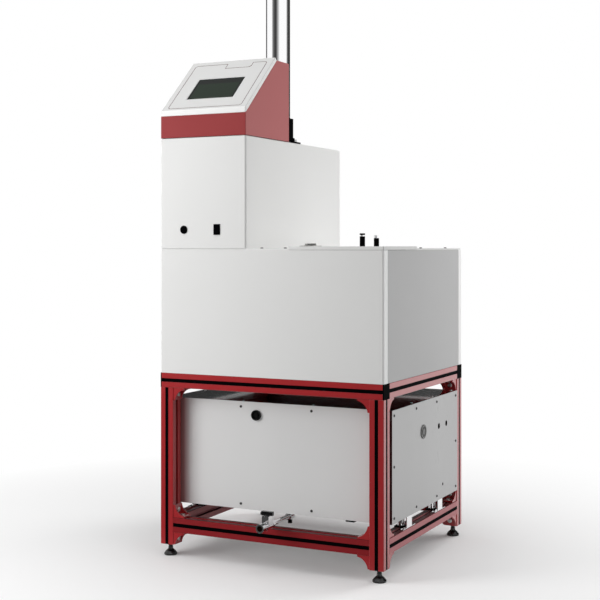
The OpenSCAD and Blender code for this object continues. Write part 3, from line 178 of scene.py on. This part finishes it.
framePaint = {
    "color": (0.42, 0.010, 0.014), "drift": 0.10, "driftScale": 5,
    "grainScale": 1400, "bump": 0.10, "bumpDepth": 0.0002,
    "roughness": (0.36, 0.46), "edgeRadius": 0.0008,
    "wear": 0.35, "wearAndHighlightColor": (0.52, 0.05, 0.06),
}
lowPaint = dict(framePaint, color=(0.28, 0.017, 0.021), wearAndHighlightColor=(0.35, 0.04, 0.05))
headPaint = {
    "color": (0.31, 0.040, 0.042), "drift": 0.06, "driftScale": 4,
    "grainScale": 1100, "bump": 0.10, "bumpDepth": 0.0002,
    "roughness": (0.40, 0.50), "edgeRadius": 0.0012,
    "wear": 0.25, "wearAndHighlightColor": (0.42, 0.08, 0.08),
}
stripePaint = dict(headPaint, color=(0.06, 0.001, 0.002), wearAndHighlightColor=(0.08, 0.001, 0.002),
                   edgeRadius=0.0002)
whitePaint = {
    "color": (0.80, 0.80, 0.79), "drift": 0.03, "driftScale": 2.5,
    "grainScale": 1200, "bump": 0.08, "bumpDepth": 0.0002,
    "roughness": (0.42, 0.52), "edgeRadius": 0.0010,
    "wear": 0.30, "wearAndHighlightColor": (0.9, 0.9, 0.89),
}
bezelPaint = dict(whitePaint, color=(0.60, 0.60, 0.595), wearAndHighlightColor=(0.85, 0.84, 0.83),
                  edgeRadius=0.0014)
sidePaint = dict(whitePaint, color=(0.51, 0.51, 0.51), wearAndHighlightColor=(0.6, 0.6, 0.6))
# painted shade: the floor plate's underside colour, near-black
floorPlateShadePaint = dict(whitePaint, color=(0.014, 0.017, 0.015), wearAndHighlightColor=(0.03, 0.03, 0.03))
caseSheet = {
    "color": (0.86, 0.86, 0.855), "drift": 0.05, "driftScale": 3,
    "stretch": (1, 1, 0.03), "grainScale": 900, "bump": 0.05, "bumpDepth": 0.0001,
    "roughness": (0.26, 0.34), "edgeRadius": 0.0006,
    "wear": 0.4, "wearAndHighlightColor": (0.85, 0.85, 0.85),
}
sideSheet = dict(caseSheet, color=(0.455, 0.455, 0.455))
boxSheet = dict(caseSheet, color=(0.78, 0.79, 0.78), roughness=(0.05, 0.10), bump=0.01)
stainless = {
    "color": (0.62, 0.61, 0.59), "drift": 0.08, "driftScale": 6,
    "stretch": (1, 0.05, 1), "grainScale": 1500, "bump": 0.06, "bumpDepth": 0.0001,
    "roughness": (0.24, 0.36), "edgeRadius": 0.0004,
    "wear": 0.3, "wearAndHighlightColor": (0.8, 0.8, 0.8),
}
polished = {
    "color": (0.92, 0.92, 0.93), "drift": 0.03, "driftScale": 8,
    "stretch": (1, 1, 0.08), "grainScale": 500, "bump": 0.015, "bumpDepth": 0.0001,
    "roughness": (0.06, 0.13), "edgeRadius": 0.0003, "wear": 0.2,
}
zincSteel = {
    "color": (0.60, 0.60, 0.58), "drift": 0.14, "driftScale": 60,
    "grainScale": 2200, "bump": 0.12, "bumpDepth": 0.0001,
    "roughness": (0.22, 0.38), "edgeRadius": 0.0003,
    "wear": 0.3, "wearAndHighlightColor": (0.85, 0.85, 0.84),
}
darkSteel = dict(zincSteel, color=(0.10, 0.10, 0.10), wearAndHighlightColor=(0.35, 0.35, 0.35))
blackPlastic = {
    "color": (0.002, 0.002, 0.0024), "drift": 0.2, "driftScale": 30,
    "grainScale": 2600, "bump": 0.22, "bumpDepth": 0.0001,
    "roughness": (0.38, 0.52), "edgeRadius": 0.0004,
    "wear": 0.3, "wearAndHighlightColor": (0.008, 0.008, 0.008),
}
blackPaint = {
    "color": (0.005, 0.005, 0.0055), "drift": 0.2, "driftScale": 25,
    "grainScale": 1800, "bump": 0.12, "bumpDepth": 0.0001,
    "roughness": (0.16, 0.28), "edgeRadius": 0.0004,
    "wear": 0.35, "wearAndHighlightColor": (0.04, 0.04, 0.04),
}
sealRubber = dict(blackPlastic, color=(0.03, 0.03, 0.032), roughness=(0.6, 0.75))
heaterSheath = dict(stainless, color=(0.20, 0.17, 0.15), drift=0.4, driftScale=18,
                    roughness=(0.4, 0.55))


# painted highlight: the gland's end is painted as a grey disc with a darker ring, on the same
# piece as the black connector
glandHighlight = {"fromX": 0.25, "centre": (0, -0.0255, 0.348), "color": (0.17, 0.17, 0.168),
         "ring": (0.0085, 0.0135), "ringColor": (0.055, 0.055, 0.055)}


def glandHighlightTint(tree, color):
    ring = between(tree, reachFrom(tree, (0, 1, 1), glandHighlight["centre"]), *glandHighlight["ring"])
    disc = blendColors(tree, ring, glandHighlight["color"], glandHighlight["ringColor"])
    side = combine(tree, "GREATER_THAN", axisOf(tree, "X"), glandHighlight["fromX"])
    return blendColors(tree, side, color, disc)


squareOn = 0.5  # a face looks along an axis when its normal has more than this of it


def facing(tree, axis):
    return combine(tree, "GREATER_THAN", normalOf(tree, axis), squareOn)


# painted shade: the floor plate is white paint above, and its underside is painted near-black as
# the shade under it
def undersideShadeTint(tree, color):
    return blendColors(tree, facing(tree, "Z"), color, whitePaint["color"])


# painted highlight: faces of the covers that look right are painted near-white where they catch
# the light more than the fronts
returnHighlight = {"color": (0.98, 0.98, 0.975)}


def returnHighlightTint(tree, color):
    return blendColors(tree, facing(tree, "X"), color, returnHighlight["color"])


# painted shade: the lower case is painted near-black inside, as the shade within it
caseInsideShade = {"low": (-0.3335, -0.249, 0.1405), "high": (0.3335, 0.251, 0.4305),
              "color": (0.012, 0.012, 0.013)}


def insideShadeTint(tree, color):
    sides = placeSides(tree)
    inside = 1.0
    for axis, low, high in zip("XYZ", caseInsideShade["low"], caseInsideShade["high"]):
        inside = combine(tree, "MULTIPLY", inside, between(tree, sides[axis], low, high))
    return blendColors(tree, inside, color, caseInsideShade["color"])


# painted reflection and shade: beside the left front post the case is painted dark red as the
# mirror of its back, and its right end beside the right post is painted dark as shade
postReflectionAndShade = {"left": (-0.288, -0.268), "right": 0.3285,
               "color": (0.38, 0.18, 0.18), "shadeColor": (0.05, 0.008, 0.010)}


def postReflectionTint(tree, color):
    across = axisOf(tree, "X")
    left = remap(tree, across, *postReflectionAndShade["left"], 1, 0)
    color = blendColors(tree, left, color, postReflectionAndShade["color"])
    right = combine(tree, "GREATER_THAN", across, postReflectionAndShade["right"])
    color = blendColors(tree, right, color, postReflectionAndShade["shadeColor"])
    return insideShadeTint(tree, color)


# painted shade: the cut edges and slots of the side panels are painted dark red, as the shade and
# the posts' reflection there
def edgeShadeTint(tree, color):
    across = combine(tree, "ABSOLUTE", normalOf(tree, "X"), 0.0)
    edge = combine(tree, "LESS_THAN", across, squareOn)
    return insideShadeTint(tree, blendColors(tree, edge, color, postReflectionAndShade["shadeColor"]))


# painted highlight: the bezel's edges are painted near-white where they catch the light, and its
# field keeps the greyer bezel paint
def bezelEdgeHighlightTint(tree, color):
    return blendColors(tree, facing(tree, "Z"), whitePaint["wearAndHighlightColor"], color)


# painted shade and reflection: the case's top is painted dark as the mirrored, shaded underside
# of the casing, but for its right rear corner
caseTopReflection = {"dark": (0.045, 0.058, 0.058), "from": 0.28, "to": 0.42}


def topReflectionTint(tree, color):
    sides = placeSides(tree)
    corner = remap(tree, combine(tree, "ADD", sides["X"], sides["Y"]),
                   caseTopReflection["from"], caseTopReflection["to"], 0, 1)
    top = blendColors(tree, corner, caseTopReflection["dark"], color)
    return blendColors(tree, facing(tree, "Z"), insideShadeTint(tree, color), top)


# painted sheen: faces of the head that look right are painted paler
headSideHighlight = {"color": (0.43, 0.12, 0.12)}


def headHighlightTint(tree, color):
    return blendColors(tree, facing(tree, "X"), color, headSideHighlight["color"])


# painted highlight: the screws on the case's top and on the head's hinges are painted bright as
# their highlights
screwHighlights = {"bands": [(0.431, 0.45), (1.08, 1.2)], "color": (0.55, 0.55, 0.54)}


def screwHighlightTint(tree, color):
    height = axisOf(tree, "Z")
    for low, high in screwHighlights["bands"]:
        color = blendColors(tree, between(tree, height, low, high), color, screwHighlights["color"])
    return color


# painted shade and sheen: the frame's upper faces are painted a deeper red as shade, and those of
# its lower beams that look right are painted paler as sheen
frameShadeAndSheen = {"upper": (0.20, 0.003, 0.005), "lowUpper": (0.06, 0.002, 0.003),
              "lowRight": (0.50, 0.19, 0.20)}


def upperShadeTint(tree, color):
    return blendColors(tree, facing(tree, "Z"), color, frameShadeAndSheen["upper"])


def lowShadeAndSheenTint(tree, color):
    color = blendColors(tree, facing(tree, "X"), color, frameShadeAndSheen["lowRight"])
    return blendColors(tree, facing(tree, "Z"), color, frameShadeAndSheen["lowUpper"])


# painted shade: the outlet's bore is painted a brass darkened as the shade inside it, and the
# plug under the elbow is black
drain = {"axis": (0.020, 0, 0.124), "bore": 0.0077, "plugTop": 0.1155,
         "color": (0.10, 0.065, 0.025), "plugColor": (0.01, 0.01, 0.01)}


def boreShadeTint(tree, color):
    reach = reachFrom(tree, (1, 0, 1), drain["axis"])
    return blendColors(tree, combine(tree, "LESS_THAN", reach, drain["bore"]),
                       color, drain["color"])


def plugTint(tree, color):
    return blendColors(tree, combine(tree, "LESS_THAN", axisOf(tree, "Z"), drain["plugTop"]),
                       color, drain["plugColor"])


frameRed = finish("frameRed", framePaint, {
    "Coat Weight": 1.0, "Coat Roughness": 0.16, "Sheen Weight": 0.5, "Sheen Roughness": 0.3},
    tint=upperShadeTint)
headRed = finish("headRed", headPaint, {
    "Specular IOR Level": 0.35, "Sheen Weight": 0.3, "Sheen Roughness": 0.3}, tint=headHighlightTint)
lowRed = finish("lowRed", lowPaint, {
    "Specular IOR Level": 0.15, "Sheen Weight": 0.05, "Sheen Roughness": 0.3}, tint=lowShadeAndSheenTint)
stripeRed = finish("stripeRed", stripePaint, {"Specular IOR Level": 0.2})
panelWhite = finish("panelWhite", whitePaint)
coverWhite = finish("coverWhite", whitePaint, tint=returnHighlightTint)
sideGrey = finish("sideGrey", sidePaint)
bezelWhite = finish("bezelWhite", bezelPaint, tint=bezelEdgeHighlightTint)
shadedFloorPlate = finish("shadedFloorPlate", floorPlateShadePaint, tint=undersideShadeTint)
caseMetal = finish("caseMetal", caseSheet, {"Metallic": 0.1}, tint=postReflectionTint)
caseSide = finish("caseSide", sideSheet, {"Metallic": 0.55}, tint=edgeShadeTint)
caseBox = finish("caseBox", boxSheet, {"Metallic": 1.0}, tint=topReflectionTint)
plainSteel = finish("plainSteel", stainless, {"Metallic": 1.0})
polishedSteel = finish("polishedSteel", polished, {"Metallic": 1.0})
valveSteel = finish("valveSteel", polished, {"Metallic": 1.0}, tint=boreShadeTint)
elbowSteel = finish("elbowSteel", polished, {"Metallic": 1.0}, tint=plugTint)
zinc = finish("zinc", zincSteel, {"Metallic": 1.0})
darkScrew = finish("darkScrew", darkSteel, {"Metallic": 0.8}, tint=screwHighlightTint)
plasticBlack = finish("plasticBlack", blackPlastic, {"Specular IOR Level": 0.004})
fittingPlastic = finish("fittingPlastic", blackPlastic, {"Specular IOR Level": 0.35},
                        tint=glandHighlightTint)
paintBlack = finish("paintBlack", blackPaint, {"Specular IOR Level": 0.5})
rubber = finish("rubber", sealRubber, {"Specular IOR Level": 0.2})
heaterTube = finish("heaterTube", heaterSheath, {"Metallic": 0.8})


# mineral wool: matted fibres over soft lumps
wool = {
    "light": (0.62, 0.50, 0.32), "dark": (0.34, 0.26, 0.15), "roughness": 0.95,
    "stretch": (1, 1, 4), "fibreScale": 420, "fibreSpan": (0, 0.7), "fibreLeast": 0.4,
    "lumpScale": 30, "lumpDetail": 6.0, "colorSpan": (0.1, 0.6), "bump": 0.7, "bumpDepth": 0.002,
}


def woolFinish():
    material, tree, shader = startMaterial("mineralWool", {"Roughness": wool["roughness"]})
    point = surfacePoint(tree, wool["stretch"])
    fibres = addNode(tree, "ShaderNodeTexVoronoi", {
        "Vector": point, "Scale": wool["fibreScale"]}).outputs["Distance"]
    lumps = noise(tree, point, wool["lumpScale"], wool["lumpDetail"])
    fibres = remap(tree, fibres, *wool["fibreSpan"], wool["fibreLeast"], 1)
    mixed = combine(tree, "MULTIPLY", fibres, lumps)
    color = blendColors(tree, remap(tree, mixed, *wool["colorSpan"], 0, 1),
                        wool["dark"], wool["light"])
    tree.links.new(color, shader.inputs["Base Color"])
    bump = addNode(tree, "ShaderNodeBump", {
        "Height": mixed, "Strength": wool["bump"], "Distance": wool["bumpDepth"]}).outputs[0]
    tree.links.new(bump, shader.inputs["Normal"])
    return material


# touchscreen: a grey-green display inside a darker printed border, under smudged glass
screenGlass = {
    "centre": (-0.198, -0.2405, 1.2826), "half": (0.0655, 0.0375), "slope": 42.146,
    "display": (0.007, 0.017, 0.008), "border": (0.003, 0.005, 0.004),
    "pixelScale": 2400, "pixelDim": 0.9,
    "smudgeScale": 35, "smudgeDetail": 5.0, "smudgeSpan": (0.35, 0.7), "roughness": (0.10, 0.20),
}


def screenFinish():
    material, tree, shader = startMaterial("screenGlass", {"Specular IOR Level": 0.08})
    place = addNode(tree, "ShaderNodeTexCoord").outputs["Object"]
    lean = math.radians(screenGlass["slope"])
    turned = addNode(tree, "ShaderNodeMapping", {
        "Vector": place, "Location": screenGlass["centre"], "Rotation": (lean, 0, 0)},
        vector_type="TEXTURE").outputs[0]
    sides = addNode(tree, "ShaderNodeSeparateXYZ", {0: turned}).outputs
    inside = 1.0
    for axis, half in zip("XY", screenGlass["half"]):
        inside = combine(tree, "MULTIPLY", inside, between(tree, sides[axis], -half, half))
    dots = addNode(tree, "ShaderNodeTexChecker", {
        "Vector": turned, "Scale": screenGlass["pixelScale"],
        "Color1": (*screenGlass["display"], 1),
        "Color2": (*[channel * screenGlass["pixelDim"] for channel in screenGlass["display"]], 1),
    }).outputs["Color"]
    smudge = noise(tree, turned, screenGlass["smudgeScale"], screenGlass["smudgeDetail"])
    color = blendColors(tree, inside, screenGlass["border"], dots)
    tree.links.new(color, shader.inputs["Base Color"])
    gloss = remap(tree, smudge, *screenGlass["smudgeSpan"], *screenGlass["roughness"])
    tree.links.new(gloss, shader.inputs["Roughness"])
    return material


finishOf = {
    frameRed: ["cross_top_beams", "side_top_beams", "front_posts", "rear_posts",
               "corner_brackets"],
    lowRed: ["cross_lower_beams", "side_lower_beams"],
    headRed: ["head_housing"],
    stripeRed: ["bezel_stripe"],
    panelWhite: ["left_panel", "top_plate", "lid", "tower_shell", "tower_back"],
    coverWhite: ["front_cover", "rear_cover"],
    sideGrey: ["right_panel"],
    bezelWhite: ["bezel"],
    shadedFloorPlate: ["casing_floor"],
    caseMetal: ["case_front_panel"],
    caseBox: ["case_body"],
    caseSide: ["case_side_panels"],
    plainSteel: ["lid_liner", "chamber", "baffle", "board_rack", "temperature_probe",
                 "fan_wheel", "exhaust_duct", "flue_flange"],
    polishedSteel: ["flue", "knob_collars", "case_buffers", "drain_pipe"],
    valveSteel: ["drain_valve"],
    elbowSteel: ["drain_fitting"],
    darkScrew: ["cover_screws"],
    zinc: ["bracket_screws", "fan_shaft", "chamber_legs", "lid_hinge_base", "lid_hinge_leaf"],
    plasticBlack: ["slot_strips", "end_caps", "lid_knobs", "start_button_collar", "start_button",
                   "rocker_frame", "rocker", "buffer_plates", "head_hinge_leaf",
                   "head_hinge_base"],
    fittingPlastic: ["case_fittings"],
    paintBlack: ["fan_motor", "drain_lever", "levelling_feet"],
    rubber: ["lid_seal"],
    heaterTube: ["ring_heater"],
    woolFinish(): ["insulation"],
    screenFinish(): ["touchscreen"],
}
for material, names in finishOf.items():
    for name in names:
        piece = nodes[name]
        piece.data.materials.clear()
        piece.data.materials.append(material)
print("finishes set on", sum(len(names) for names in finishOf.values()), "pieces")


# studio: a pale floor that fades to white, and soft light

studio = {
    "floorSize": 30, "floorColor": (0.86, 0.86, 0.86), "floorRoughness": 0.55,
    "speckScale": 40, "speckDetail": 4.0, "speckDim": 0.985,
    "fadeFrom": 0.5, "fadeTo": 1.6, "fadeLeast": 0.09,  # how fast the floor turns white
    "bounceColor": (0.37, 0.37, 0.37),  # the floor as it lights the oven from below
    "darkFloorFrom": -0.4, "darkFloor": 0.06,  # the floor ahead, as polished metal mirrors it
    "worldDiffuse": 0.38, "worldGloss": 1.08,
    # brightness of the room in a mirror, by compass angle from -180 to 180 degrees:
    # dark at the front all the way up, and dark at the back above head height only
    "mirrorFront": [(-180, 1.0), (-124, 1.0), (-118, 0.35), (-106, 0.12), (-92, 0.05),
                    (-80, 0.05), (-60, 0.5), (-48, 1.0), (180, 1.0)],
    "mirrorBack": [(-180, 1.0), (20, 1.0), (40, 0.05), (160, 0.05), (172, 0.9), (180, 1.0)],
    "backBandFrom": 0.07, "topFrom": 0.75,
}


def makeFloor():
    size = studio["floorSize"]
    mesh = bpy.data.meshes.new("floor")
    mesh.from_pydata([(x * size, y * size, 0) for x, y in ((-1, -1), (1, -1), (1, 1), (-1, 1))],
                     [], [(0, 1, 2, 3)])
    floor = bpy.data.objects.new("floor", mesh)
    bpy.context.scene.collection.objects.link(floor)
    material, tree, shader = startMaterial("paleFloor", {"Roughness": studio["floorRoughness"]})
    place = addNode(tree, "ShaderNodeTexCoord").outputs["Object"]
    speck = noise(tree, place, studio["speckScale"], studio["speckDetail"])
    color = blendColors(tree, speck, studio["floorColor"],
                        [channel * studio["speckDim"] for channel in studio["floorColor"]])
    rays = addNode(tree, "ShaderNodeLightPath")
    color = blendColors(tree, rays.outputs["Is Diffuse Ray"], color, studio["bounceColor"])
    tree.links.new(color, shader.inputs["Base Color"])
    distance = addNode(tree, "ShaderNodeVectorMath", {0: place},
                       operation="LENGTH").outputs["Value"]
    fade = remap(tree, distance, studio["fadeFrom"], studio["fadeTo"], studio["fadeLeast"], 1)
    seen = combine(tree, "MAXIMUM", rays.outputs["Is Camera Ray"], rays.outputs["Is Glossy Ray"])
    ahead = combine(tree, "LESS_THAN", axisOf(tree, "Y"), studio["darkFloorFrom"])
    mixed = shader.outputs[0]
    for part, strength in ((combine(tree, "MULTIPLY", fade, seen), 1.0),
                           (combine(tree, "MULTIPLY", ahead, rays.outputs["Is Glossy Ray"]),
                            studio["darkFloor"])):
        glow = addNode(tree, "ShaderNodeEmission", {
            "Color": (1, 1, 1, 1), "Strength": strength}).outputs[0]
        mixed = addNode(tree, "ShaderNodeMixShader", {0: part, 1: mixed, 2: glow}).outputs[0]
    tree.links.new(mixed, tree.nodes["Material Output"].inputs["Surface"])
    mesh.materials.append(material)


def bandRamp(tree, turn, bands):
    ramp = addNode(tree, "ShaderNodeValToRGB", {0: turn})
    stops = ramp.color_ramp.elements
    for index, (angle, value) in enumerate(bands):
        place = (angle + 180) / 360
        stop = stops.new(place) if index > 1 else stops[index]
        stop.position = place
        stop.color = (value, value, value, 1)
    return ramp.outputs[0]


def makeWorld():
    world = bpy.data.worlds.new("studioWorld")
    bpy.context.scene.world = world
    world.use_nodes = True
    tree = world.node_tree
    background = tree.nodes["Background"]
    rays = addNode(tree, "ShaderNodeLightPath")
    gloss = combine(tree, "MAXIMUM", rays.outputs["Is Glossy Ray"],
                    rays.outputs["Is Transmission Ray"])
    way = addNode(tree, "ShaderNodeSeparateXYZ", {
        0: addNode(tree, "ShaderNodeTexCoord").outputs["Generated"]})
    compass = addNode(tree, "ShaderNodeMath", {
        0: way.outputs["Y"], 1: way.outputs["X"]}, operation="ARCTAN2").outputs[0]
    turn = remap(tree, compass, -math.pi, math.pi, 0, 1)
    front, back = [bandRamp(tree, turn, studio[name]) for name in ("mirrorFront", "mirrorBack")]
    below = combine(tree, "LESS_THAN", way.outputs["Z"], studio["backBandFrom"])
    bands = combine(tree, "MULTIPLY", front, combine(tree, "MAXIMUM", back, below))
    top = combine(tree, "GREATER_THAN", way.outputs["Z"], studio["topFrom"])
    bands = combine(tree, "MAXIMUM", bands, top)
    bands = combine(tree, "MULTIPLY", bands, studio["worldGloss"])
    strength = addNode(tree, "ShaderNodeMix", {
        0: gloss, 2: studio["worldDiffuse"], 3: bands}, data_type="FLOAT").outputs[0]
    strength = combine(tree, "MAXIMUM", strength, rays.outputs["Is Camera Ray"])
    tree.links.new(strength, background.inputs["Strength"])
    background.inputs["Color"].default_value = (1, 1, 1, 1)


softLights = [
    {"name": "keyLight", "place": (-1.25, -1.45, 1.2), "aim": (-0.1, -0.2, 0.7),
     "size": (0.9, 1.8), "power": 24.5, "glossy": False},
    {"name": "topLight", "place": (0.2, -0.4, 4.0), "aim": (0, 0, 0.6),
     "size": (2.6, 2.6), "power": 50},
    {"name": "backRightLight", "place": (1.7, 2.2, 1.6), "aim": (0.1, 0.1, 0.9),
     "size": (1.4, 2.2), "power": 53, "glossy": False},
]


def makeLight(values):
    lamp = bpy.data.lights.new(values["name"], "AREA")
    lamp.shape = "RECTANGLE"
    lamp.size, lamp.size_y = values["size"]
    lamp.energy = values["power"]
    light = bpy.data.objects.new(values["name"], lamp)
    bpy.context.scene.collection.objects.link(light)
    light.location = values["place"]
    aim = Vector(values["aim"]) - light.location
    light.rotation_euler = aim.to_track_quat("-Z", "Y").to_euler()
    light.visible_camera = False
    light.visible_glossy = values.get("glossy", True)


camera = {"place": (1.5086, -3.1325, 0.8522), "turn": 26.482, "lens": 73.06, "shift": -0.0904}


def makeCamera():
    data = bpy.data.cameras.new("camera")
    data.lens = camera["lens"]
    data.sensor_width = 36
    data.shift_y = camera["shift"]
    eye = bpy.data.objects.new("camera", data)
    bpy.context.scene.collection.objects.link(eye)
    eye.location = camera["place"]
    eye.rotation_euler = (math.radians(90), 0, math.radians(camera["turn"]))
    bpy.context.scene.camera = eye


makeFloor()
makeWorld()
for values in softLights:
    makeLight(values)
makeCamera()
bpy.context.scene.view_settings.view_transform = "Standard"
print("studio ready")
